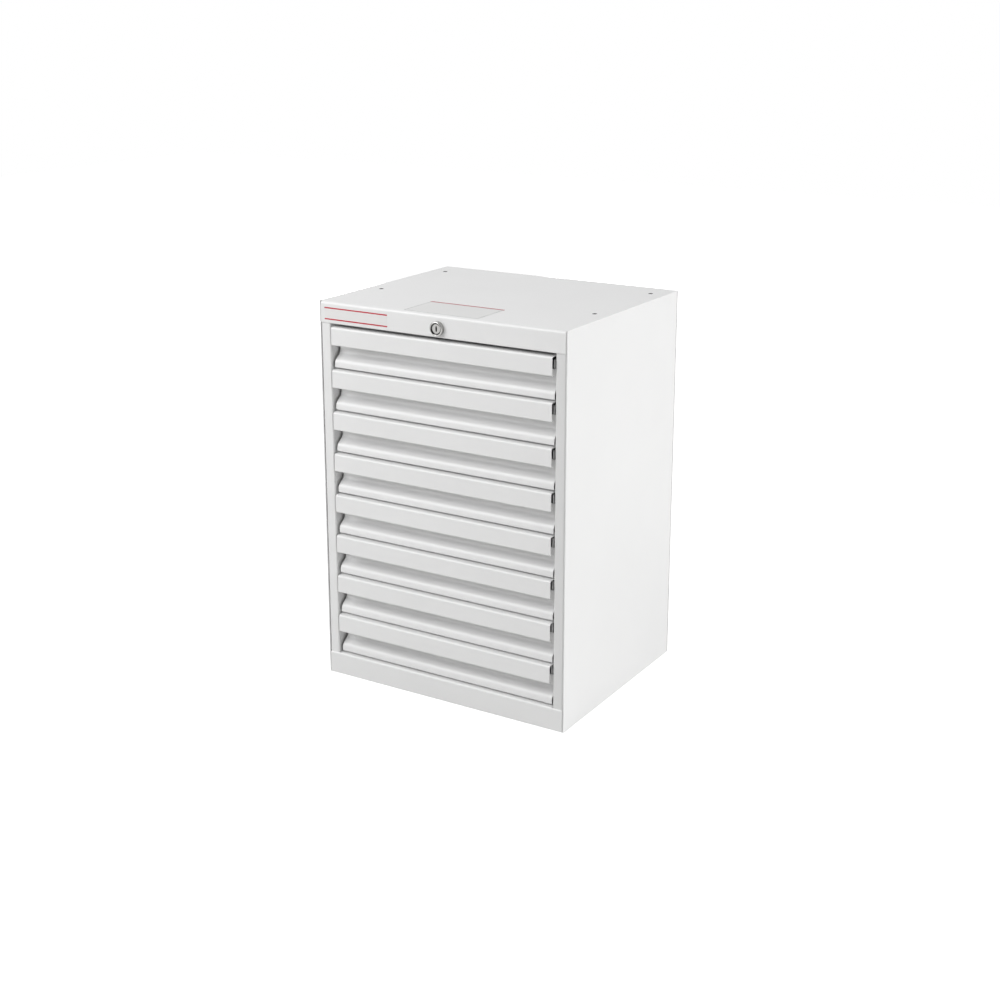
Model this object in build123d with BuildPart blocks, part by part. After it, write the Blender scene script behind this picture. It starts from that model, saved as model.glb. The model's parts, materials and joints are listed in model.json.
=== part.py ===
"""Van drawer cabinet: a folded sheet steel case with eight drawers on telescopic runners.

Lengths are in millimetres and angles in degrees. X runs to the right, Y to the back and Z up, and
the origin is the centre of the underside. The drawers are shut, and the central lock is open.
"""

import os
from math import cos, radians, sin

from build123d import *

# Case: outer sizes and sheet
cabinet_width = 432.0
cabinet_depth = 356.0
fascia_height = 34.0
base_rail_height = 36.5
stile_width = 19.0
stile_return = 22.0
case_sheet = 1.5
back_sheet = 1.2
case_bend = 2.2
fascia_bend = 5.0
base_rail_bend = 3.5
corner_round = 1.2
seam_setback = 0.8
frame_gap = 0.8
edge_return = 12.0
side_flange = 20.0
rear_flange = 25.0
panel_return = 14.0
notch_clearance = 1.0
face_tolerance = 0.1

# Holes that fasten the case, in its top and in its floor
bolt_spacing_x = 381.0
bolt_spacing_y = 184.0
bolt_hole_radius = 3.5
rear_bolt_inset = 45.0

# Drawers
drawer_count = 8
drawer_front_height = 64.85
drawer_gap = 2.0
header_gap = 4.7
drawer_side_gap = 4.0
drawer_sheet = 1.2
front_setback = 5.6
front_recess = 20.0
slope_start = 11.0
slope_end = 22.0
slope_bend = 9.0
lip_proud = 2.5
lip_height = 28.4
lip_bend = 2.3
lip_hem = 3.0
relief_width = 14.0
relief_height = 23.0
hem_bend = 0.6
bottom_hem = 10.4
tray_sheet = 1.0
tray_top_room = 9.85
tray_hem = 7.0
tray_front_flange = 30.0
tray_lift = 5.0
tray_bend = 2.5
tray_rear_room = 18.0

# Telescopic runners: case member, intermediate member and drawer member, one inside the other
runner_height = 35.0
runner_thickness = 12.7
runner_stile_gap = 9.5
runner_sheet = 1.2
runner_bend = 1.6
runner_clearance = 0.35
runner_lip = 2.4
case_member_depth = 10.5
middle_member_depth = 8.9
runner_stile_room = 0.6

# Hat-section uprights that carry the runners
upright_width = 36.0
upright_foot = 11.0
upright_inset = 62.0
foot_bend = 2.5
web_bend = 0.8

# Central lock
lock_drop = 20.0
lock_head_radius = 11.1
lock_head_length = 6.0
lock_head_round = 1.6
lock_rim_radius = 9.2
lock_dish = 1.7
lock_barrel_radius = 9.4
lock_barrel_length = 20.0
lock_fit = 0.1
plug_radius = 7.0
plug_recess = 2.0
keyway_length = 8.6
keyway_width = 1.7
keyway_depth = 8.0
nut_flats = 23.0
nut_thickness = 4.0
rod_radius = 4.0
crank_radius = 11.0
crank_thickness = 4.0
crank_throw = 8.0
crank_pin_radius = 2.0
crank_bar_gap = 3.6
lock_turn = 90.0
pin_play = 0.6
bar_width = 22.0
bar_sheet = 2.0
bar_head_width = 32.0
bar_head_height = 18.0
bar_back_room = 3.8
guide_width = 34.0
guide_height = 14.0
guide_play = 0.4
guide_wall = 2.2
hook_width = 12.0
hook_sheet = 2.5
hook_nose_thickness = 3.0
hook_nose_length = 9.8
hook_rise = 2.5
hook_wall_gap = 2.3
bracket_sheet = 2.0
bracket_width = 32.0
bracket_foot = 16.0
bracket_inset = 30.0
bracket_drop = 32.0

# Blind rivets of the back panel
rivet_radius = 1.6
rivet_hole_fit = 0.05
rivet_head_radius = 3.2
rivet_head_height = 1.2
rivet_head_round = 0.95
rivet_tail_radius = 2.3
rivet_tail_height = 1.4
rivet_inset = 8.0
rivet_rows = 5
rear_rivet_share = 0.3

# Derived places of the case
drawer_pitch = drawer_front_height + drawer_gap
opening_height = drawer_gap + drawer_count * drawer_pitch - drawer_gap + header_gap
cabinet_height = base_rail_height + opening_height + fascia_height
fascia_bottom = cabinet_height - fascia_height
front_y = -cabinet_depth / 2
back_y = cabinet_depth / 2
flange_y = back_y - back_sheet
half_width = cabinet_width / 2
panel_inner = half_width - case_sheet
opening_half = half_width - stile_width
stile_front = front_y + case_sheet
frame_half = panel_inner - frame_gap
bolt_centre_y = back_y - rear_bolt_inset - bolt_spacing_y / 2
notch_width = panel_return - case_sheet + notch_clearance
rear_rivet_x = cabinet_width * rear_rivet_share
upright_bottom = side_flange + notch_clearance
upright_top = cabinet_height - upright_bottom

# Derived places of the drawers and their runners
drawer_bottoms = [base_rail_height + drawer_gap + drawer_pitch * k for k in range(drawer_count)]
front_half = opening_half - drawer_side_gap
recess_back = front_y + front_recess + drawer_sheet
tray_back = back_y - tray_rear_room
tray_height = drawer_front_height - tray_lift - tray_top_room
runner_plane = opening_half + runner_stile_room
tray_half = runner_plane - runner_thickness
runner_front = stile_front + stile_return + runner_stile_gap
runner_length = tray_back - runner_front
middle_height = runner_height - 2 * (runner_sheet + runner_clearance)
drawer_member_height = middle_height - 2 * (runner_sheet + runner_clearance)
middle_plane = runner_plane - runner_sheet - runner_clearance
drawer_member_plane = middle_plane - runner_sheet - runner_clearance
runner_mid_height = tray_lift + tray_height / 2

# Derived places of the lock
lock_z = cabinet_height - lock_drop
bar_back = flange_y - bar_back_room
bar_front = bar_back - bar_sheet
crank_back = bar_front - crank_bar_gap
pin_x = crank_throw * cos(radians(lock_turn / 2))
pin_z = lock_z + crank_throw * sin(radians(lock_turn / 2))
bar_travel = 2 * crank_throw * sin(radians(lock_turn / 2))
nose_back = tray_back - 2 * tray_sheet - hook_wall_gap
bracket_y = tray_back - bracket_inset

os.makedirs("parts", exist_ok=True)


def sheet_section(plane, points, bends, thickness):
    """Section of a bent sheet: the points follow one face, and the sheet lies to their left."""
    corners = [Vector(*point) for point in points]
    runs = [(end - start).normalized() for start, end in zip(corners, corners[1:])]
    normals = [Vector(-run.Y, run.X) for run in runs]
    far_corners = [corners[0] + normals[0] * thickness]
    far_bends = []
    for corner, before, after, bend in zip(corners[1:-1], normals, normals[1:], bends):
        far_corners.append(corner + (before + after) * (thickness / (1 + before.dot(after))))
        turns_left = before.cross(after).Z > 0
        far_bends.append(bend - thickness if turns_left else bend + thickness)
    far_corners.append(corners[-1] + normals[-1] * thickness)
    with BuildSketch(plane) as section:
        with BuildLine():
            FilletPolyline(*corners, radius=bends)
            FilletPolyline(*far_corners, radius=far_bends)
            Line(corners[0], far_corners[0])
            Line(corners[-1], far_corners[-1])
        make_face()
    return section.sketch


def channel_points(plane_x, centre_z, depth, height, lip):
    """Corners of a runner channel that opens towards the drawer, with lips at its mouth."""
    mouth_x = plane_x - depth
    low = centre_z - height / 2
    high = centre_z + height / 2
    corners = [(mouth_x, low), (plane_x, low), (plane_x, high), (mouth_x, high)]
    if lip > 0:
        corners = [(mouth_x, low + lip)] + corners + [(mouth_x, high - lip)]
    return corners


def save(piece, name):
    """Label a finished piece and write it to its own file."""
    piece.part.label = name
    export_step(piece.part, f"parts/{name}.step")


# Side panels: flat sheet with a return at the back, notched for the top and the floor
with BuildPart() as side_panel_right:
    panel_path = [
        (half_width, front_y + seam_setback),
        (half_width, flange_y),
        (half_width - panel_return, flange_y),
    ]
    extrude(
        sheet_section(Plane.XY, panel_path, [case_bend], case_sheet),
        amount=cabinet_height,
    )
    for notch_z in (case_sheet / 2, cabinet_height - case_sheet / 2):
        with Locations((panel_inner - panel_return / 2, flange_y - case_sheet, notch_z)):
            Box(panel_return, 4 * case_sheet, case_sheet, mode=Mode.SUBTRACT)
    side_rivet_zs = [
        rear_flange + notch_clearance + rivet_inset
        + k * (cabinet_height - 2 * (rear_flange + notch_clearance + rivet_inset)) / (rivet_rows - 1)
        for k in range(rivet_rows)
    ]
    side_rivet_x = half_width - rivet_inset
    with BuildSketch(Plane.XZ.offset(-flange_y)):
        with Locations(*[(side_rivet_x, z) for z in side_rivet_zs]):
            Circle(rivet_radius + rivet_hole_fit)
    extrude(amount=case_bend, mode=Mode.SUBTRACT)

with BuildPart() as side_panel_left:
    mirror(side_panel_right.part, about=Plane.YZ)

# Top panel: the fascia folds down in front, flanges fold down at the sides and the back
with BuildPart() as top_panel:
    top_path = [
        (flange_y, cabinet_height - rear_flange),
        (flange_y, cabinet_height),
        (front_y, cabinet_height),
        (front_y, fascia_bottom),
        (front_y + edge_return, fascia_bottom),
    ]
    top_bends = [case_bend, fascia_bend, case_bend]
    extrude(
        sheet_section(Plane.YZ, top_path, top_bends, case_sheet),
        amount=panel_inner,
        both=True,
    )
    for side in (-1, 1):
        with Locations((side * frame_half, front_y, cabinet_height)):
            Box(
                frame_gap, fascia_bend, 2 * fascia_height + frame_gap,
                align=(Align.MIN if side > 0 else Align.MAX, Align.MIN, Align.CENTER),
                mode=Mode.SUBTRACT,
            )
    fascia_corners = top_panel.edges().filter_by(Axis.Z).filter_by_position(
        Axis.Y, front_y - face_tolerance, front_y + face_tolerance
    )
    fillet(fascia_corners, corner_round)
    for side in (-1, 1):
        with Locations((side * (panel_inner - notch_width / 2), flange_y, cabinet_height - case_sheet)):
            Box(
                notch_width, 4 * case_bend, rear_flange,
                align=(Align.CENTER, Align.CENTER, Align.MAX), mode=Mode.SUBTRACT,
            )
        with Locations((side * half_width, stile_front, fascia_bottom)):
            Box(2 * stile_width, stile_return, 2 * edge_return,
                align=(Align.CENTER, Align.MIN, Align.CENTER), mode=Mode.SUBTRACT)
    flange_length = cabinet_depth - 2 * (stile_return + rivet_inset)
    with BuildSketch(Plane.XY.offset(cabinet_height - side_flange)):
        with Locations((panel_inner - case_sheet / 2, 0), (case_sheet / 2 - panel_inner, 0)):
            Rectangle(case_sheet, flange_length)
    extrude(amount=side_flange)
    with BuildSketch(Plane.XY.offset(cabinet_height)):
        with Locations((0, bolt_centre_y)):
            with GridLocations(bolt_spacing_x, bolt_spacing_y, 2, 2):
                Circle(bolt_hole_radius)
    extrude(amount=-case_sheet, mode=Mode.SUBTRACT)
    with BuildSketch(Plane.XZ.offset(-front_y)):
        with Locations((0, lock_z)):
            Circle(lock_barrel_radius + lock_fit)
    extrude(amount=-case_sheet, mode=Mode.SUBTRACT)
    with BuildSketch(Plane.XZ.offset(-flange_y)):
        with Locations(*[(x, cabinet_height - rear_flange / 2) for x in (-rear_rivet_x, rear_rivet_x)]):
            Circle(rivet_radius + rivet_hole_fit)
    extrude(amount=case_bend, mode=Mode.SUBTRACT)

# Base pan: the kick rail folds up in front, flanges fold up at the sides and the back
with BuildPart() as base_pan:
    base_path = [
        (front_y + edge_return, base_rail_height),
        (front_y, base_rail_height),
        (front_y, 0),
        (flange_y, 0),
        (flange_y, rear_flange),
    ]
    base_bends = [base_rail_bend, case_bend, case_bend]
    extrude(
        sheet_section(Plane.YZ, base_path, base_bends, case_sheet),
        amount=panel_inner,
        both=True,
    )
    for side in (-1, 1):
        with Locations((side * frame_half, front_y, 0)):
            Box(
                frame_gap, base_rail_bend, 2 * base_rail_height + frame_gap,
                align=(Align.MIN if side > 0 else Align.MAX, Align.MIN, Align.CENTER),
                mode=Mode.SUBTRACT,
            )
    rail_corners = base_pan.edges().filter_by(Axis.Z).filter_by_position(
        Axis.Y, front_y - face_tolerance, front_y + face_tolerance
    )
    fillet(rail_corners, corner_round)
    for side in (-1, 1):
        with Locations((side * (panel_inner - notch_width / 2), flange_y, case_sheet)):
            Box(
                notch_width, 4 * case_bend, rear_flange,
                align=(Align.CENTER, Align.CENTER, Align.MIN), mode=Mode.SUBTRACT,
            )
        with Locations((side * half_width, stile_front, base_rail_height)):
            Box(2 * (stile_width + notch_clearance), stile_return, 2 * edge_return,
                align=(Align.CENTER, Align.MIN, Align.CENTER), mode=Mode.SUBTRACT)
    with BuildSketch(Plane.XY):
        with Locations((panel_inner - case_sheet / 2, 0), (case_sheet / 2 - panel_inner, 0)):
            Rectangle(case_sheet, flange_length)
    extrude(amount=side_flange)
    with BuildSketch(Plane.XY):
        with Locations((0, bolt_centre_y)):
            with GridLocations(bolt_spacing_x, bolt_spacing_y, 2, 2):
                Circle(bolt_hole_radius)
    extrude(amount=case_sheet, mode=Mode.SUBTRACT)
    with BuildSketch(Plane.XZ.offset(-flange_y)):
        with Locations(*[(x, rear_flange / 2) for x in (-rear_rivet_x, rear_rivet_x)]):
            Circle(rivet_radius + rivet_hole_fit)
    extrude(amount=case_bend, mode=Mode.SUBTRACT)

# Stiles: front posts, folded back on both edges, standing on the floor under the top
with BuildPart() as stile_right:
    stile_path = [
        (opening_half, stile_front + stile_return),
        (opening_half, stile_front),
        (frame_half, stile_front),
        (frame_half, stile_front + stile_return),
    ]
    extrude(
        sheet_section(
            Plane.XY.offset(case_bend), stile_path, [case_bend, case_bend], case_sheet
        ),
        amount=cabinet_height - fascia_bend - case_bend,
    )

with BuildPart() as stile_left:
    mirror(stile_right.part, about=Plane.YZ)

# Back panel: a flat sheet riveted to the flanges and returns
rivet_places = [(side * side_rivet_x, z) for side in (-1, 1) for z in side_rivet_zs]
rivet_places += [
    (side * rear_rivet_x, z)
    for side in (-1, 1)
    for z in (rear_flange / 2, cabinet_height - rear_flange / 2)
]
with BuildPart() as back_panel:
    with BuildSketch(Plane.XZ.offset(-back_y)):
        with Locations((0, cabinet_height / 2)):
            Rectangle(cabinet_width, cabinet_height)
        with Locations(*rivet_places):
            Circle(rivet_radius + rivet_hole_fit, mode=Mode.SUBTRACT)
    extrude(amount=back_sheet)

# Blind rivets of the back panel, with a domed head outside and a pulled tail inside
rivet_grip = back_sheet + case_sheet
with BuildPart() as rivet:
    with BuildSketch(Plane.XZ.offset(-rivet_head_height)):
        Circle(rivet_head_radius)
    extrude(amount=rivet_head_height)
    fillet(rivet.edges().sort_by(Axis.Y)[-1], rivet_head_round)
    with BuildSketch(Plane.XZ):
        Circle(rivet_radius)
    extrude(amount=rivet_grip)
    with BuildSketch(Plane.XZ.offset(rivet_grip)):
        Circle(rivet_tail_radius)
    extrude(amount=rivet_tail_height)

with BuildPart() as back_rivets:
    with Locations(*[(x, back_y, z) for x, z in rivet_places]):
        add(rivet.part)

# Runner uprights: hat sections on the side panels, one near the front and one near the back
with BuildPart() as runner_uprights:
    for upright_y in (front_y + upright_inset, back_y - upright_inset):
        foot_front = upright_y - upright_width / 2 - upright_foot
        foot_rear = upright_y + upright_width / 2 + upright_foot
        upright_path = [
            (panel_inner, foot_front),
            (panel_inner, upright_y - upright_width / 2),
            (runner_plane + case_sheet, upright_y - upright_width / 2),
            (runner_plane + case_sheet, upright_y + upright_width / 2),
            (panel_inner, upright_y + upright_width / 2),
            (panel_inner, foot_rear),
        ]
        extrude(
            sheet_section(
                Plane.XY.offset(upright_bottom), upright_path,
                [foot_bend, web_bend, web_bend, foot_bend], case_sheet,
            ),
            amount=upright_top - upright_bottom,
        )
    mirror(about=Plane.YZ)

# Case members of the runners, all sixteen
runner_end = Plane.XZ.offset(-tray_back)
with BuildPart() as case_runners:
    for drawer_bottom in drawer_bottoms:
        member_path = channel_points(
            runner_plane, drawer_bottom + runner_mid_height, case_member_depth, runner_height, runner_lip
        )
        extrude(
            sheet_section(
                runner_end, member_path, [runner_bend] * 4, runner_sheet,
            ),
            amount=runner_length,
        )
    mirror(about=Plane.YZ)


def middle_runners(drawer_bottom):
    """Intermediate members of one drawer's two runners."""
    path = channel_points(
        middle_plane, drawer_bottom + runner_mid_height,
        middle_member_depth - runner_sheet - runner_clearance, middle_height, 0,
    )
    with BuildPart() as members:
        extrude(
            sheet_section(runner_end, path, [runner_bend, runner_bend], runner_sheet),
            amount=runner_length,
        )
        mirror(about=Plane.YZ)
    return members


def drawer_runners(drawer_bottom):
    """Drawer members of one drawer's two runners: channels with their backs on the tray."""
    centre_z = drawer_bottom + runner_mid_height
    low = centre_z - drawer_member_height / 2
    high = centre_z + drawer_member_height / 2
    path = [
        (drawer_member_plane, high),
        (tray_half, high),
        (tray_half, low),
        (drawer_member_plane, low),
    ]
    with BuildPart() as members:
        extrude(
            sheet_section(runner_end, path, [runner_bend, runner_bend], runner_sheet),
            amount=runner_length,
        )
        mirror(about=Plane.YZ)
    return members


def drawer_front(drawer_bottom):
    """Drawer front: bottom strip, S-shaped slope, finger recess and hooked lip, in one sheet.

    Relief notches open the upper corners behind the lip, where the sheet's end is bent twice.
    """
    lip_back = lip_proud - drawer_sheet
    underside = drawer_front_height - drawer_sheet
    lip_bottom = drawer_front_height - lip_height + drawer_sheet
    path = [
        (lip_hem - lip_back, lip_bottom),
        (-lip_back, lip_bottom),
        (-lip_back, underside),
        (front_recess, underside),
        (front_recess, slope_end),
        (front_setback, slope_start),
        (front_setback, 0),
        (front_setback + bottom_hem, 0),
    ]
    bends = [hem_bend, lip_bend, lip_bend, slope_bend, slope_bend, case_bend]
    section_plane = Plane((0, front_y, drawer_bottom), x_dir=(0, 1, 0), z_dir=(1, 0, 0))
    with BuildPart() as front:
        extrude(
            sheet_section(section_plane, path, bends, drawer_sheet),
            amount=front_half,
            both=True,
        )
        relief_front = front_y + front_recess - lip_bend
        with Locations(
            (-front_half, relief_front, drawer_bottom + drawer_front_height),
            (front_half, relief_front, drawer_bottom + drawer_front_height),
        ):
            Box(
                2 * relief_width, lip_bend + 2 * drawer_sheet, 2 * relief_height,
                align=(Align.CENTER, Align.MIN, Align.CENTER), mode=Mode.SUBTRACT,
            )
    return front


def drawer_tray(drawer_bottom):
    """Drawer tray: a box with rounded lower edges, a hemmed rim and a low flange in front."""
    with BuildPart() as tray:
        with Locations((0, recess_back, drawer_bottom + tray_lift)):
            Box(
                2 * tray_half, tray_back - recess_back, tray_height,
                align=(Align.CENTER, Align.MIN, Align.MIN),
            )
        lower_edges = tray.edges().group_by(Axis.Z)[0].filter_by(Axis.Y)
        fillet(lower_edges, tray_bend)
        offset(amount=-tray_sheet, openings=tray.faces().sort_by(Axis.Z)[-1])
        tray_length = tray_back - recess_back
        with BuildSketch(Plane.XY.offset(drawer_bottom + tray_lift + tray_height)):
            with Locations((0, (recess_back + tray_back) / 2)):
                Rectangle(2 * tray_half, tray_length)
                Rectangle(
                    2 * tray_half - 4 * tray_sheet, tray_length - 4 * tray_sheet,
                    mode=Mode.SUBTRACT,
                )
        extrude(amount=-tray_hem)
        with Locations((0, recess_back, drawer_bottom + tray_lift + tray_front_flange)):
            Box(
                2 * tray_half - 4 * tray_sheet, 2 * tray_sheet, tray_height,
                align=(Align.CENTER, Align.MIN, Align.MIN), mode=Mode.SUBTRACT,
            )
    return tray


# Lock body: a round head on the fascia, dished around the plug, and a barrel through the sheet
lock_axis = Axis((0, 0, lock_z), (0, 1, 0))
lock_plane = Plane((0, front_y, lock_z), x_dir=(0, 1, 0), z_dir=(1, 0, 0))
with BuildPart() as lock_body:
    with BuildSketch(lock_plane) as head_section:
        with BuildLine():
            Polyline(
                (lock_dish - lock_head_length, plug_radius + lock_fit),
                (-lock_head_length, lock_rim_radius),
                (-lock_head_length, lock_head_radius),
                (0, lock_head_radius),
                (0, lock_barrel_radius),
                (lock_barrel_length, lock_barrel_radius),
                (lock_barrel_length, plug_radius + lock_fit),
                close=True,
            )
        make_face()
        head_corner = head_section.vertices().group_by(Axis.X)[0].sort_by(Axis.Y)[-1]
        fillet(head_corner, lock_head_round)
    revolve(axis=lock_axis)

# Lock nut behind the fascia
with BuildPart() as lock_nut:
    with BuildSketch(Plane.XZ.offset(-front_y - case_sheet)):
        with Locations((0, lock_z)):
            RegularPolygon(nut_flats / 2, 6, major_radius=False)
            Circle(lock_barrel_radius + lock_fit, mode=Mode.SUBTRACT)
    extrude(amount=-nut_thickness)

# Lock plug with its keyway upright
plug_front = front_y - lock_head_length + plug_recess
plug_back = front_y + lock_barrel_length + plug_recess
with BuildPart() as lock_plug:
    with BuildSketch(Plane.XZ.offset(-plug_back)):
        with Locations((0, lock_z)):
            Circle(plug_radius)
    extrude(amount=plug_back - plug_front)
    with BuildSketch(Plane.XZ.offset(-plug_front)):
        with Locations((0, lock_z)):
            Rectangle(keyway_width, keyway_length)
    extrude(amount=-keyway_depth, mode=Mode.SUBTRACT)

# Lock rod: from the plug to the back, ending in a crank disc with its pin in the lock bar
with BuildPart() as lock_rod:
    with BuildSketch(Plane.XZ.offset(-crank_back)):
        with Locations((0, lock_z)):
            Circle(rod_radius)
    extrude(amount=crank_back - plug_back)
    with BuildSketch(Plane.XZ.offset(-crank_back)):
        with Locations((0, lock_z)):
            Circle(crank_radius)
    extrude(amount=crank_thickness)
    with BuildSketch(Plane.XZ.offset(-crank_back)):
        with Locations((pin_x, pin_z)):
            Circle(crank_pin_radius)
    extrude(amount=-(bar_back - crank_back + bar_sheet / 2))

# Rod bearing: an angle bracket under the top panel
with BuildPart() as rod_bearing:
    bracket_path = [
        (bracket_y + bracket_foot, cabinet_height - case_sheet),
        (bracket_y, cabinet_height - case_sheet),
        (bracket_y, cabinet_height - bracket_drop),
    ]
    extrude(
        sheet_section(Plane.YZ, bracket_path, [foot_bend + bracket_sheet], bracket_sheet),
        amount=bracket_width / 2,
        both=True,
    )
    with BuildSketch(Plane.XZ.offset(-bracket_y)):
        with Locations((0, lock_z)):
            Circle(rod_radius + lock_fit)
    extrude(amount=-bracket_sheet, mode=Mode.SUBTRACT)

# Lock bar: a flat strip behind the drawers, with a slot for the crank pin in its head
hook_undersides = [z + tray_lift + tray_height + hook_rise + hook_nose_length for z in drawer_bottoms]
bar_bottom = hook_undersides[0] - hook_width
bar_head_top = pin_z + bar_head_height / 2
with BuildPart() as lock_bar:
    with BuildSketch(Plane.XZ.offset(-bar_back)):
        with Locations((0, (bar_bottom + bar_head_top) / 2)):
            Rectangle(bar_width, bar_head_top - bar_bottom)
        with Locations((0, pin_z)):
            Rectangle(bar_head_width, bar_head_height)
        pin_slot_height = 2 * (crank_pin_radius + pin_play)
        with Locations(((pin_x + crank_throw) / 2, pin_z)):
            SlotOverall(crank_throw - pin_x + pin_slot_height + pin_play, pin_slot_height, mode=Mode.SUBTRACT)
    extrude(amount=bar_sheet)

# Lock hooks: one over the back wall of each tray, welded to the bar
with BuildPart() as lock_hooks:
    for underside in hook_undersides:
        hook_path = [
            (nose_back - hook_nose_thickness, underside - hook_nose_length),
            (nose_back - hook_nose_thickness, underside + hook_sheet),
            (bar_front, underside + hook_sheet),
        ]
        with BuildSketch(Plane.YZ) as hook_section:
            with BuildLine():
                Polyline(
                    *hook_path,
                    (bar_front, underside),
                    (nose_back, underside),
                    (nose_back, underside - hook_nose_length),
                    close=True,
                )
            make_face()
        extrude(amount=hook_width / 2, both=True)

# Lock bar guides: moulded blocks on the back panel
with BuildPart() as lock_bar_guides:
    guide_front = bar_front - guide_play - guide_wall
    for k in (1, drawer_count // 2, drawer_count - 1):
        guide_z = drawer_bottoms[k] + runner_mid_height
        with Locations((0, (guide_front + flange_y) / 2, guide_z)):
            Box(guide_width, flange_y - guide_front, guide_height)
        with Locations((0, (bar_front + bar_back) / 2, guide_z)):
            Box(
                bar_width + 2 * guide_play, bar_sheet + 2 * guide_play, guide_height,
                mode=Mode.SUBTRACT,
            )

save(side_panel_right, "side_panel_right")
save(side_panel_left, "side_panel_left")
save(top_panel, "top_panel")
save(base_pan, "base_pan")
save(stile_right, "stile_right")
save(stile_left, "stile_left")
save(back_panel, "back_panel")
save(back_rivets, "back_rivets")
save(runner_uprights, "runner_uprights")
save(case_runners, "case_runners")
save(lock_body, "lock_body")
save(lock_nut, "lock_nut")
save(lock_plug, "lock_plug")
save(lock_rod, "lock_rod")
save(rod_bearing, "rod_bearing")
save(lock_bar, "lock_bar")
save(lock_hooks, "lock_hooks")
save(lock_bar_guides, "lock_bar_guides")

# Drawers are numbered from the top
for number, drawer_bottom in enumerate(reversed(drawer_bottoms), start=1):
    save(drawer_front(drawer_bottom), f"drawer_front_{number}")
    save(drawer_tray(drawer_bottom), f"drawer_tray_{number}")
    save(drawer_runners(drawer_bottom), f"drawer_runners_{number}")
    save(middle_runners(drawer_bottom), f"middle_runners_{number}")

print(f"cabinet {cabinet_width} x {cabinet_depth} x {cabinet_height}")
print(f"lock bar travel {bar_travel:.3f}")
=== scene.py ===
import json
import math

import bmesh
import bpy
from mathutils import Matrix, Vector


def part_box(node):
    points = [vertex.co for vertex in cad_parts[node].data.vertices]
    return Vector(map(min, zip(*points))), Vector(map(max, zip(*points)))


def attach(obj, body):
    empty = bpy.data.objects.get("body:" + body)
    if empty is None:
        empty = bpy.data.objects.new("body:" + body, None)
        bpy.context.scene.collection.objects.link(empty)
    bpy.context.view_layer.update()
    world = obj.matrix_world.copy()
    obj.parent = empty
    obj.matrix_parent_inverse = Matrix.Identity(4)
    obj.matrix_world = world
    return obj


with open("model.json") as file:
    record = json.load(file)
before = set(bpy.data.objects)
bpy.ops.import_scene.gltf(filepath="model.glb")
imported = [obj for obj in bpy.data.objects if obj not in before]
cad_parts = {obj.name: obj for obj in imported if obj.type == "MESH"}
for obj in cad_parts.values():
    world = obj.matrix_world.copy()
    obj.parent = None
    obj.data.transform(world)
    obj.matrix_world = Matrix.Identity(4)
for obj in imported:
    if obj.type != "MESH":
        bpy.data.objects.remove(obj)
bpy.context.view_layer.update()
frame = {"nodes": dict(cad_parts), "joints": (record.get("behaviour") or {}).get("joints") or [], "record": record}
nodes = frame["nodes"]


# The camera stands to the right of the front and higher than the top, with a medium lens. A small
# shift keeps the tall sides closer to upright, as in the photograph.
def aim(viewer, target):
    """Turn the camera or a lamp towards a point."""
    towards = Vector(target) - viewer.location
    viewer.rotation_euler = towards.to_track_quat("-Z", "Y").to_euler()


camera_data = bpy.data.cameras.new("camera")
camera_data.sensor_width = 36
camera_data.lens = 57.6
camera_data.shift_y = -0.08
camera = bpy.data.objects.new("camera", camera_data)
bpy.context.scene.collection.objects.link(camera)
bpy.context.scene.camera = camera
camera.location = (1.2659, -2.0790, 1.0743)
aim(camera, (-0.0023, 0.0, 0.4102))


# The studio floor is wide, matt and pale. It glows only for the camera and in reflections, which
# see it white, and it keeps the cabinet's shadow.
def add_node(tree, kind, values=None, **settings):
    """One node with its settings, and then the values of its inputs that nothing is wired to."""
    node = tree.nodes.new(kind)
    for setting, value in settings.items():
        setattr(node, setting, value)
    for socket, value in (values or {}).items():
        node.inputs[socket].default_value = value
    return node


def wire(tree, *pairs):
    """Wire outputs to inputs, each pair an output and the input that it feeds."""
    for output, fed_input in pairs:
        tree.links.new(output, fed_input)


def bare_material(name):
    """A material with an empty node tree, and that tree."""
    material = bpy.data.materials.new(name)
    material.use_nodes = True
    material.node_tree.nodes.clear()
    return material, material.node_tree


def set_down(name, mesh):
    """An object at the origin that holds a finished mesh."""
    piece = bpy.data.objects.new(name, mesh)
    bpy.context.scene.collection.objects.link(piece)
    return piece


floor_grey = (0.62, 0.62, 0.61, 1)
floor_glow = 0.80
floor_half_width = 6.0

studio_white, floor_tree = bare_material("studio_white")
floor_end = add_node(floor_tree, "ShaderNodeOutputMaterial")
matt = add_node(floor_tree, "ShaderNodeBsdfDiffuse", {"Color": floor_grey})
glow = add_node(floor_tree, "ShaderNodeEmission")
matt_and_glow = add_node(floor_tree, "ShaderNodeAddShader")
floor_ray = add_node(floor_tree, "ShaderNodeLightPath")
floor_is_seen = add_node(floor_tree, "ShaderNodeMath", operation="MAXIMUM")
glow_strength = add_node(floor_tree, "ShaderNodeMath", {1: floor_glow}, operation="MULTIPLY")
wire(
    floor_tree,
    (floor_ray.outputs["Is Camera Ray"], floor_is_seen.inputs[0]),
    (floor_ray.outputs["Is Glossy Ray"], floor_is_seen.inputs[1]),
    (floor_is_seen.outputs[0], glow_strength.inputs[0]),
    (glow_strength.outputs[0], glow.inputs["Strength"]),
    (matt.outputs[0], matt_and_glow.inputs[0]),
    (glow.outputs[0], matt_and_glow.inputs[1]),
    (matt_and_glow.outputs[0], floor_end.inputs["Surface"]),
)

floor_mesh = bpy.data.meshes.new("studio_floor")
shape = bmesh.new()
bmesh.ops.create_grid(shape, x_segments=1, y_segments=1, size=floor_half_width)
shape.to_mesh(floor_mesh)
shape.free()
floor_mesh.materials.append(studio_white)
studio_floor = set_down("studio_floor", floor_mesh)


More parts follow.
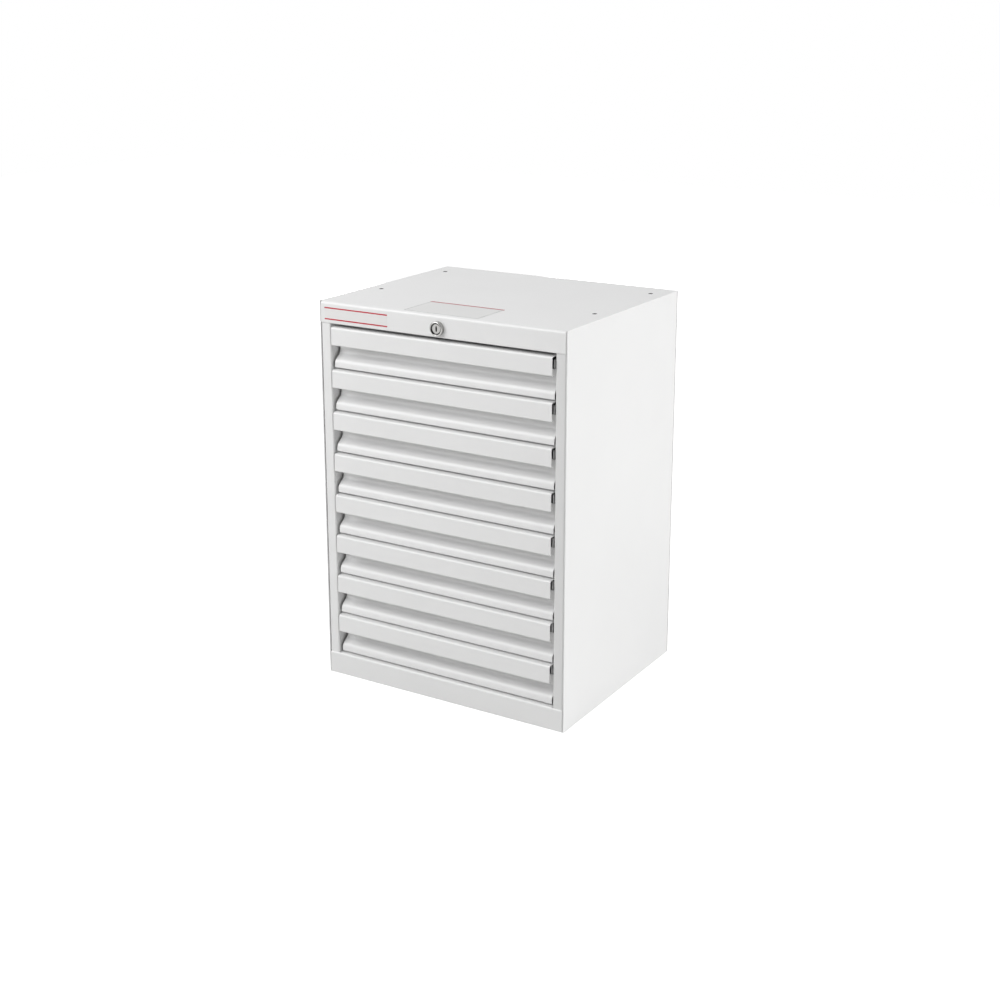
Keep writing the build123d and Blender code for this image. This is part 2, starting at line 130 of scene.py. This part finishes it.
# The studio's sky is white to the camera and in reflections, and lights the cabinet with a weaker
# fill. Reflections show the room behind the camera as dim as that, for contrast on the metal.
sky_fill = 0.37
sky_white = 1.0
way_to_room = (0.40, -0.69, 0.60)
room_starts = 0.78
room_is_full = 0.88

world = bpy.data.worlds.new("studio")
bpy.context.scene.world = world
world.use_nodes = True
sky_tree = world.node_tree
sky_tree.nodes.clear()
sky_end = add_node(sky_tree, "ShaderNodeOutputWorld")
sky = add_node(sky_tree, "ShaderNodeBackground", {"Color": (1, 1, 1, 1)})
sky_ray = add_node(sky_tree, "ShaderNodeLightPath")
sky_place = add_node(sky_tree, "ShaderNodeTexCoord")
towards_room = add_node(sky_tree, "ShaderNodeVectorMath", {1: way_to_room}, operation="DOT_PRODUCT")
outside_room = add_node(
    sky_tree,
    "ShaderNodeMapRange",
    {"From Min": room_starts, "From Max": room_is_full, "To Min": 1.0, "To Max": 0.0},
)
reflected_sky = add_node(sky_tree, "ShaderNodeMath", operation="MULTIPLY")
sky_is_seen = add_node(sky_tree, "ShaderNodeMath", operation="MAXIMUM")
sky_strength = add_node(sky_tree, "ShaderNodeMapRange", {"To Min": sky_fill, "To Max": sky_white})
wire(
    sky_tree,
    (sky_place.outputs["Generated"], towards_room.inputs[0]),
    (towards_room.outputs["Value"], outside_room.inputs["Value"]),
    (sky_ray.outputs["Is Glossy Ray"], reflected_sky.inputs[0]),
    (outside_room.outputs["Result"], reflected_sky.inputs[1]),
    (sky_ray.outputs["Is Camera Ray"], sky_is_seen.inputs[0]),
    (reflected_sky.outputs[0], sky_is_seen.inputs[1]),
    (sky_is_seen.outputs[0], sky_strength.inputs["Value"]),
    (sky_strength.outputs["Result"], sky.inputs["Strength"]),
    (sky.outputs[0], sky_end.inputs["Surface"]),
)


# Three large soft lamps stand round the cabinet: at the right, high at the front left, and low at
# the back left. The right one is left out of reflections, which would turn the side panel white.
def soft_lamp(name, place, target, width, height, watts):
    """A large rectangular lamp, aimed at a point of the cabinet."""
    lamp_data = bpy.data.lights.new(name, "AREA")
    lamp_data.shape = "RECTANGLE"
    lamp_data.size = width
    lamp_data.size_y = height
    lamp_data.energy = watts
    lamp = bpy.data.objects.new(name, lamp_data)
    bpy.context.scene.collection.objects.link(lamp)
    lamp.location = place
    aim(lamp, target)
    return lamp


right_lamp = soft_lamp(
    "right_lamp", place=(3.0, 0.2, 1.1), target=(0.2, 0.0, 0.32), width=2.0, height=2.0, watts=56
)
right_lamp.visible_glossy = False
soft_lamp(
    "front_lamp", place=(-1.3, -1.8, 2.0), target=(0.0, -0.1, 0.40), width=2.0, height=2.0, watts=50
)
soft_lamp(
    "back_lamp", place=(-2.4, 2.5, 0.28), target=(0.0, 0.0, 0.28), width=2.0, height=0.5, watts=50
)


# The case and the drawers are folded sheet steel under white powder coat, sprayed on and baked. It
# is a satin, faintly pebbled skin of nearly one shade, and the sheet below it is slightly wavy.
def finish_effect(name, inputs, outputs):
    """A node group for one effect of a finish, with its named inputs and outputs."""
    effect = bpy.data.node_groups.new(name, "ShaderNodeTree")
    for label, kind, value in inputs:
        socket = effect.interface.new_socket(label, in_out="INPUT", socket_type=kind)
        socket.default_value = value
    for label, kind in outputs:
        effect.interface.new_socket(label, in_out="OUTPUT", socket_type=kind)
    return effect, add_node(effect, "NodeGroupInput"), add_node(effect, "NodeGroupOutput")


def shaded(tree, colour, shade):
    """A colour times a shade that changes over the surface."""
    tint = add_node(tree, "ShaderNodeMix", {"Factor": 1.0}, data_type="RGBA", blend_type="MULTIPLY")
    wire(tree, (colour, tint.inputs["A"]), (shade, tint.inputs["B"]))
    return tint.outputs["Result"]


def finish(name, effect, values, bump, constants):
    """A material whose colour, roughness and relief come from one effect."""
    material, tree = bare_material(name)
    end = add_node(tree, "ShaderNodeOutputMaterial")
    shader = add_node(tree, "ShaderNodeBsdfPrincipled", constants)
    texture = add_node(tree, "ShaderNodeGroup", values, node_tree=effect)
    relief = add_node(tree, "ShaderNodeBump", {"Strength": bump, "Distance": 0.0001})
    wire(
        tree,
        (texture.outputs["Colour"], shader.inputs["Base Color"]),
        (texture.outputs["Roughness"], shader.inputs["Roughness"]),
        (texture.outputs["Height"], relief.inputs["Height"]),
        (relief.outputs["Normal"], shader.inputs["Normal"]),
        (shader.outputs[0], end.inputs["Surface"]),
    )
    return material


def dress(names, material):
    """Put one material on nodes of the model."""
    for name in names:
        for material_slot in nodes[name].material_slots:
            material_slot.material = material


finish_outputs = [
    ("Colour", "NodeSocketColor"),
    ("Roughness", "NodeSocketFloat"),
    ("Height", "NodeSocketFloat"),
]
pebble, pebble_in, pebble_out = finish_effect(
    "coat_pebble",
    [
        ("Colour", "NodeSocketColor", (0.8, 0.8, 0.8, 1)),
        ("Grains per metre", "NodeSocketFloat", 900.0),
        ("Unevenness", "NodeSocketFloat", 0.02),
        ("Roughness", "NodeSocketFloat", 0.4),
        ("Waviness", "NodeSocketFloat", 0.0),
    ],
    finish_outputs,
)
grain_gloss_change = 0.12
noise_low = 0.3
noise_high = 0.7

coat_place = add_node(pebble, "ShaderNodeTexCoord")
grain = add_node(pebble, "ShaderNodeTexNoise", {"Detail": 3.0, "Roughness": 0.45})
cloud = add_node(pebble, "ShaderNodeTexNoise", {"Scale": 7.0, "Detail": 2.0})
sheet_wave = add_node(pebble, "ShaderNodeTexNoise", {"Scale": 30.0, "Detail": 1.0})
darkest_shade = add_node(pebble, "ShaderNodeMath", {0: 1.0}, operation="SUBTRACT")
cloud_shade = add_node(
    pebble, "ShaderNodeMapRange", {"From Min": noise_low, "From Max": noise_high, "To Max": 1.0}
)
grain_gloss = add_node(pebble, "ShaderNodeMath", {1: grain_gloss_change}, operation="MULTIPLY_ADD")
wave_and_grain = add_node(pebble, "ShaderNodeMath", operation="MULTIPLY_ADD")
coat_colour = shaded(pebble, pebble_in.outputs["Colour"], cloud_shade.outputs["Result"])
for noise in (grain, cloud, sheet_wave):
    wire(pebble, (coat_place.outputs["Object"], noise.inputs["Vector"]))
wire(
    pebble,
    (pebble_in.outputs["Grains per metre"], grain.inputs["Scale"]),
    (pebble_in.outputs["Unevenness"], darkest_shade.inputs[1]),
    (darkest_shade.outputs[0], cloud_shade.inputs["To Min"]),
    (cloud.outputs["Fac"], cloud_shade.inputs["Value"]),
    (grain.outputs["Fac"], grain_gloss.inputs[0]),
    (pebble_in.outputs["Roughness"], grain_gloss.inputs[2]),
    (sheet_wave.outputs["Fac"], wave_and_grain.inputs[0]),
    (pebble_in.outputs["Waviness"], wave_and_grain.inputs[1]),
    (grain.outputs["Fac"], wave_and_grain.inputs[2]),
    (coat_colour, pebble_out.inputs["Colour"]),
    (grain_gloss.outputs[0], pebble_out.inputs["Roughness"]),
    (wave_and_grain.outputs[0], pebble_out.inputs["Height"]),
)
thin_gloss = {"Coat Weight": 0.12, "Coat Roughness": 0.22}


def powder_coat(name, shade):
    """White powder coat of one shade, from 0, black, to 1, white."""
    coat = {
        "Colour": (shade, shade, shade, 1),
        "Grains per metre": 900,
        "Unevenness": 0.02,
        "Roughness": 0.28,
        "Waviness": 9.0,
    }
    return finish(name, pebble, coat, bump=0.4, constants=thin_gloss)


white_shade = 0.82
drawer_numbers = range(1, 1 + sum(name.startswith("drawer_front_") for name in nodes))
white_coat = powder_coat("white_coat", white_shade)
dress(["side_panel_left", "side_panel_right", "back_panel"], white_coat)
dress(["stile_left", "runner_uprights"], white_coat)
dress([f"drawer_front_{number}" for number in drawer_numbers], white_coat)
dress([f"drawer_tray_{number}" for number in drawer_numbers], white_coat)


# The right stile is folded and coated like the left one, and stands in the case's front corner. Its
# coat is the same white paint, painted a shade greyer: painted shade for the dimmer light on it.
stile_shaded_coat = powder_coat("stile_shaded_coat", 0.73)
dress(["stile_right"], stile_shaded_coat)


# The top panel and the base pan are coated sheets that close the case, each with the same four bolt
# holes. Light can't reach a hole's wall, so painted shade darkens the coat there and on its rim.
def paint_shade_in_hollows(material, colour, centre, half_spacing, weights, radius):
    """Paint shade round four places about a centre, or round the centre if the spacing is 0."""
    tree = material.node_tree
    base_colour = tree.nodes["Principled BSDF"].inputs["Base Color"]
    plain_colour = base_colour.links[0].from_socket
    place = add_node(tree, "ShaderNodeTexCoord")
    from_centre = add_node(tree, "ShaderNodeVectorMath", {1: centre}, operation="SUBTRACT")
    mirrored = add_node(tree, "ShaderNodeVectorMath", operation="ABSOLUTE")
    from_hollow = add_node(tree, "ShaderNodeVectorMath", {1: half_spacing}, operation="SUBTRACT")
    weighted = add_node(tree, "ShaderNodeVectorMath", {1: weights}, operation="MULTIPLY")
    distance = add_node(tree, "ShaderNodeVectorMath", operation="LENGTH")
    in_hollow = add_node(tree, "ShaderNodeMath", {1: radius}, operation="LESS_THAN")
    darkened = add_node(tree, "ShaderNodeMix", {"B": colour}, data_type="RGBA")
    wire(
        tree,
        (place.outputs["Object"], from_centre.inputs[0]),
        (from_centre.outputs[0], mirrored.inputs[0]),
        (mirrored.outputs[0], from_hollow.inputs[0]),
        (from_hollow.outputs[0], weighted.inputs[0]),
        (weighted.outputs[0], distance.inputs[0]),
        (distance.outputs["Value"], in_hollow.inputs[0]),
        (in_hollow.outputs[0], darkened.inputs["Factor"]),
        (plain_colour, darkened.inputs["A"]),
        (darkened.outputs["Result"], base_colour),
    )


bolts = next(mount for mount in frame["record"]["mounts"] if mount["name"] == "top_bolts")
bolt_sizes = bolts["dims"]
bolt_half_spacing = (bolt_sizes["spacing_x_mm"] / 2000, bolt_sizes["spacing_y_mm"] / 2000, 0.0)
bolt_hole_rim = 0.0002
# Painted shade for the holes' walls and rims.
bolt_hole_painted_shade = (0.03, 0.03, 0.03, 1)
ignore_depth = (1, 1, 0)
drilled_coat = powder_coat("drilled_white_coat", white_shade)
paint_shade_in_hollows(
    drilled_coat,
    bolt_hole_painted_shade,
    bolts["pos_m"],
    bolt_half_spacing,
    ignore_depth,
    bolt_sizes["hole_r_mm"] / 1000 + bolt_hole_rim,
)
dress(["top_panel", "base_pan"], drilled_coat)


# The runners are rolled steel strip, zinc plated: a case member on the uprights, an intermediate
# member and a drawer member on each side of a drawer. Rolling leaves fine streaks along them.
streaks, streaks_in, streaks_out = finish_effect(
    "rolled_streaks",
    [
        ("Colour", "NodeSocketColor", (0.6, 0.6, 0.6, 1)),
        ("Streaks per metre", "NodeSocketVector", (400.0, 12.0, 400.0)),
        ("Roughness", "NodeSocketFloat", 0.3),
    ],
    finish_outputs,
)
streak_gloss_change = 0.18
streak_dark_shade = 0.82

streak_place = add_node(streaks, "ShaderNodeTexCoord")
streak_stretch = add_node(streaks, "ShaderNodeVectorMath", operation="MULTIPLY")
streak = add_node(streaks, "ShaderNodeTexNoise", {"Scale": 1.0, "Detail": 4.0})
streak_shade = add_node(
    streaks,
    "ShaderNodeMapRange",
    {
        "From Min": noise_low,
        "From Max": noise_high,
        "To Min": streak_dark_shade,
        "To Max": 1.0,
    },
)
streak_gloss = add_node(
    streaks, "ShaderNodeMath", {1: streak_gloss_change}, operation="MULTIPLY_ADD"
)
streak_colour = shaded(streaks, streaks_in.outputs["Colour"], streak_shade.outputs["Result"])
wire(
    streaks,
    (streak_place.outputs["Object"], streak_stretch.inputs[0]),
    (streaks_in.outputs["Streaks per metre"], streak_stretch.inputs[1]),
    (streak_stretch.outputs[0], streak.inputs["Vector"]),
    (streak.outputs["Fac"], streak_shade.inputs["Value"]),
    (streak.outputs["Fac"], streak_gloss.inputs[0]),
    (streaks_in.outputs["Roughness"], streak_gloss.inputs[2]),
    (streak_colour, streaks_out.inputs["Colour"]),
    (streak_gloss.outputs[0], streaks_out.inputs["Roughness"]),
    (streak.outputs["Fac"], streaks_out.inputs["Height"]),
)


def bare_metal(name, colour, streaks_per_metre, roughness, bump):
    """Plated or polished metal, with streaks counted along x, y and z."""
    metal = {"Colour": colour, "Streaks per metre": streaks_per_metre, "Roughness": roughness}
    return finish(name, streaks, metal, bump, constants={"Metallic": 1.0})


zinc_colour = (0.62, 0.63, 0.65, 1)
rolled_along_depth = (500, 9, 500)
zinc_steel = bare_metal("zinc_steel", zinc_colour, rolled_along_depth, roughness=0.24, bump=0.15)
dress(["case_runners"], zinc_steel)
dress([f"drawer_runners_{number}" for number in drawer_numbers], zinc_steel)
dress([f"middle_runners_{number}" for number in drawer_numbers], zinc_steel)


# Behind the plug are the nut, the rod in its bearing bracket, and the flat lock bar with its eight
# hooks welded on. They and the back panel's blind rivets are zinc-plated steel too.
dress(["lock_nut", "lock_rod", "rod_bearing", "lock_bar", "lock_hooks"], zinc_steel)
dress(["back_rivets"], zinc_steel)


# The lock's body and plug are nickel plated and polished, with a faint turned grain on the face.
# The nut holds the body in the fascia. The keyway and the groove round the plug get painted shade.
nickel_colour = (0.46, 0.455, 0.445, 1)
turned_grain = (900, 60, 900)
nickel_roughness = 0.07
nickel_bump = 0.08
lock_centre = next(row for row in frame["joints"] if row["name"] == "lock_turn")["pos_m"]
no_spacing = (0.0, 0.0, 0.0)

# Painted shade in the keyway slot and a hair round it.
keyway_painted_shade = (0.004, 0.004, 0.004, 1)
keyway_half_width = 0.0014
tall_keyway = (1, 0, 0.30)
plug_nickel = bare_metal(
    "polished_nickel", nickel_colour, turned_grain, nickel_roughness, nickel_bump
)
paint_shade_in_hollows(plug_nickel, keyway_painted_shade, lock_centre, no_spacing, tall_keyway, keyway_half_width)
dress(["lock_plug"], plug_nickel)

# Painted shade over the body's dish round the plug.
groove_painted_shade = (0.035, 0.035, 0.035, 1)
groove_radius = 0.0088
round_groove = (1, 0, 1)
body_nickel = bare_metal("body_nickel", nickel_colour, turned_grain, nickel_roughness, nickel_bump)
paint_shade_in_hollows(body_nickel, groove_painted_shade, lock_centre, no_spacing, round_groove, groove_radius)
dress(["lock_body"], body_nickel)


# The guides of the lock bar are blocks of black nylon, fixed to the back panel. The mould that they
# come from leaves a fine even grain on them.
nylon_skin = {
    "Colour": (0.02, 0.02, 0.02, 1),
    "Grains per metre": 1500,
    "Unevenness": 0.1,
    "Roughness": 0.45,
    "Waviness": 0.0,
}
black_nylon = finish("black_nylon", pebble, nylon_skin, bump=0.3, constants=thin_gloss)
dress(["lock_bar_guides"], black_nylon)


# Solid steel rivets hold each drawer member of the runners to its tray, three to a side. Their
# low round heads stand in the channel, clear of the intermediate member.
rivet_radius = 0.0034
rivet_height = 0.0014
rivet_rounding = 0.8 * rivet_height
rivet_inset = 0.022
runner_sheet = 0.0012
rivet_colour = (0.56, 0.57, 0.59, 1)
even_grain = (700, 700, 700)
rivet_steel = bare_metal("rivet_steel", rivet_colour, even_grain, roughness=0.30, bump=0.2)


def round_head(shape):
    """Add a rivet's head that stands on the XY plane, and give its vertices."""
    others = set(shape.verts)
    bmesh.ops.create_cone(
        shape,
        cap_ends=True,
        segments=24,
        radius1=rivet_radius,
        radius2=rivet_radius,
        depth=rivet_height,
        matrix=Matrix.Translation((0, 0, rivet_height / 2)),
    )
    head = [vert for vert in shape.verts if vert not in others]
    edges = {edge for vert in head for edge in vert.link_edges}
    rim = [edge for edge in edges if min(vert.co.z for vert in edge.verts) > rivet_height / 2]
    bmesh.ops.bevel(
        shape,
        geom=rim,
        offset=rivet_rounding,
        affect="EDGES",
        segments=4,
        profile=0.5,
        material=-1,
    )
    return [vert for vert in shape.verts if vert not in others]


for number in drawer_numbers:
    tray_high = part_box(f"drawer_tray_{number}")[1]
    runner_low, runner_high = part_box(f"drawer_runners_{number}")
    runner_middle = (runner_low[2] + runner_high[2]) / 2
    rivet_places = (
        runner_low[1] + rivet_inset,
        (runner_low[1] + runner_high[1]) / 2,
        runner_high[1] - rivet_inset,
    )
    rivet_shape = bmesh.new()
    for side in (-1, 1):
        outward = Matrix.Rotation(side * math.pi / 2, 4, "Y")
        channel_floor = side * (tray_high[0] + runner_sheet)
        for rivet_y in rivet_places:
            head = round_head(rivet_shape)
            seat = Matrix.Translation((channel_floor, rivet_y, runner_middle))
            bmesh.ops.transform(rivet_shape, matrix=seat @ outward, verts=head)
    bmesh.ops.recalc_face_normals(rivet_shape, faces=rivet_shape.faces)
    rivet_mesh = bpy.data.meshes.new(f"runner_rivets_{number}")
    rivet_shape.to_mesh(rivet_mesh)
    rivet_shape.free()
    rivet_mesh.materials.append(rivet_steel)
    rivets = set_down(f"runner_rivets_{number}", rivet_mesh)
    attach(rivets, f"drawer_{number}")


# A narrow blank sticker with a red rule along each long edge is stuck on the left of the fascia. It
# is thin smooth vinyl, printed and cut with rounded corners.
printed_frame, frame_in, frame_out = finish_effect(
    "printed_frame",
    [
        ("Paper", "NodeSocketColor", (0.8, 0.8, 0.8, 1)),
        ("Ink", "NodeSocketColor", (0.3, 0.3, 0.3, 1)),
        ("Centre", "NodeSocketVector", (0, 0, 0)),
        ("Half size", "NodeSocketVector", (0.05, 0.05, 0.05)),
        ("Half line", "NodeSocketFloat", 0.001),
        ("Back from", "NodeSocketFloat", 9.0),
        ("Back ink", "NodeSocketColor", (0.3, 0.3, 0.3, 1)),
        ("Thicker at back", "NodeSocketFloat", 0.0),
    ],
    [("Colour", "NodeSocketColor")],
)
print_place = add_node(printed_frame, "ShaderNodeTexCoord")
from_centre = add_node(printed_frame, "ShaderNodeVectorMath", operation="SUBTRACT")
mirrored_place = add_node(printed_frame, "ShaderNodeVectorMath", operation="ABSOLUTE")
past_line = add_node(printed_frame, "ShaderNodeVectorMath", operation="SUBTRACT")
past_each_way = add_node(printed_frame, "ShaderNodeSeparateXYZ")
further = add_node(printed_frame, "ShaderNodeMath", operation="MAXIMUM")
furthest = add_node(printed_frame, "ShaderNodeMath", operation="MAXIMUM")
on_line = add_node(printed_frame, "ShaderNodeMath", {1: 0.0}, operation="COMPARE")
each_way = add_node(printed_frame, "ShaderNodeSeparateXYZ")
at_back = add_node(printed_frame, "ShaderNodeMath", operation="GREATER_THAN")
half_line = add_node(printed_frame, "ShaderNodeMath", operation="MULTIPLY_ADD")
ink_here = add_node(printed_frame, "ShaderNodeMix", data_type="RGBA")
print_here = add_node(printed_frame, "ShaderNodeMix", data_type="RGBA")
wire(
    printed_frame,
    (print_place.outputs["Object"], from_centre.inputs[0]),
    (frame_in.outputs["Centre"], from_centre.inputs[1]),
    (from_centre.outputs[0], mirrored_place.inputs[0]),
    (mirrored_place.outputs[0], past_line.inputs[0]),
    (frame_in.outputs["Half size"], past_line.inputs[1]),
    (past_line.outputs[0], past_each_way.inputs[0]),
    (past_each_way.outputs["X"], further.inputs[0]),
    (past_each_way.outputs["Y"], further.inputs[1]),
    (further.outputs[0], furthest.inputs[0]),
    (past_each_way.outputs["Z"], furthest.inputs[1]),
    (from_centre.outputs[0], each_way.inputs[0]),
    (each_way.outputs["Y"], at_back.inputs[0]),
    (frame_in.outputs["Back from"], at_back.inputs[1]),
    (at_back.outputs[0], half_line.inputs[0]),
    (frame_in.outputs["Thicker at back"], half_line.inputs[1]),
    (frame_in.outputs["Half line"], half_line.inputs[2]),
    (furthest.outputs[0], on_line.inputs[0]),
    (half_line.outputs[0], on_line.inputs[2]),
    (at_back.outputs[0], ink_here.inputs["Factor"]),
    (frame_in.outputs["Ink"], ink_here.inputs["A"]),
    (frame_in.outputs["Back ink"], ink_here.inputs["B"]),
    (on_line.outputs[0], print_here.inputs["Factor"]),
    (frame_in.outputs["Paper"], print_here.inputs["A"]),
    (ink_here.outputs["Result"], print_here.inputs["B"]),
    (print_here.outputs["Result"], frame_out.inputs["Colour"]),
)


def printed_vinyl(name, print_values):
    """Smooth vinyl with a faint grain, and lines printed on it."""
    skin = {"Grains per metre": 2500, "Unevenness": 0.03, "Roughness": 0.32}
    material = finish(name, pebble, skin, bump=0.1, constants={})
    tree = material.node_tree
    skin_colour = tree.nodes["Group"].inputs["Colour"]
    printed = add_node(tree, "ShaderNodeGroup", print_values, node_tree=printed_frame)
    wire(tree, (printed.outputs["Colour"], skin_colour))
    return material


sticker_thickness = 0.00015


def sticker(name, width, length, corner, placing, material):
    """A thin vinyl sticker with rounded corners, laid flat and then put in its place."""
    shape = bmesh.new()
    bmesh.ops.create_grid(shape, x_segments=1, y_segments=1, size=0.5)
    bmesh.ops.scale(shape, vec=(width, length, 1), verts=shape.verts)
    bmesh.ops.bevel(
        shape,
        geom=shape.verts[:],
        offset=corner,
        affect="VERTICES",
        segments=5,
        profile=0.5,
        material=-1,
    )
    upper = bmesh.ops.extrude_face_region(shape, geom=shape.faces[:])
    upper_verts = [item for item in upper["geom"] if isinstance(item, bmesh.types.BMVert)]
    bmesh.ops.translate(shape, verts=upper_verts, vec=(0, 0, sticker_thickness))
    bmesh.ops.recalc_face_normals(shape, faces=shape.faces)
    bmesh.ops.transform(shape, matrix=placing, verts=shape.verts)
    mesh = bpy.data.meshes.new(name)
    shape.to_mesh(mesh)
    shape.free()
    mesh.materials.append(material)
    piece = set_down(name, mesh)
    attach(piece, "case")


panel_low, panel_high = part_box("top_panel")
off_sticker = 9
fascia_centre = (-0.148, panel_low[1], 0.5915)
ruled_print = {
    "Paper": (0.80, 0.79, 0.785, 1),
    "Ink": (0.50, 0.008, 0.03, 1),
    "Centre": fascia_centre,
    "Half size": (off_sticker, off_sticker, 0.0086),
    "Half line": 0.0010,
}
ruled_vinyl = printed_vinyl("ruled_vinyl", ruled_print)
facing_front = Matrix.Translation(fascia_centre) @ Matrix.Rotation(math.pi / 2, 4, "X")
sticker(
    "fascia_sticker",
    width=0.116,
    length=0.021,
    corner=0.0015,
    placing=facing_front,
    material=ruled_vinyl,
)


# A wide, pale blank sticker is stuck flat on the top panel, near its front. The same vinyl carries
# a thin grey frame, which is thicker and red along the back edge.
top_centre = (0.0, panel_low[1] + 0.0445, panel_high[2])
framed_print = {
    "Paper": (0.76, 0.76, 0.755, 1),
    "Ink": (0.16, 0.16, 0.17, 1),
    "Centre": top_centre,
    "Half size": (0.0635, 0.0370, off_sticker),
    "Half line": 0.0004,
    "Back from": 0.0335,
    "Back ink": (0.36, 0.008, 0.03, 1),
    "Thicker at back": 0.0034,
}
framed_vinyl = printed_vinyl("framed_vinyl", framed_print)
facing_up = Matrix.Translation(top_centre)
sticker(
    "top_sticker",
    width=0.130,
    length=0.077,
    corner=0.002,
    placing=facing_up,
    material=framed_vinyl,
)


# Colours are shown as they are written, with no film look.
view_settings = bpy.context.scene.view_settings
view_settings.view_transform = "Standard"
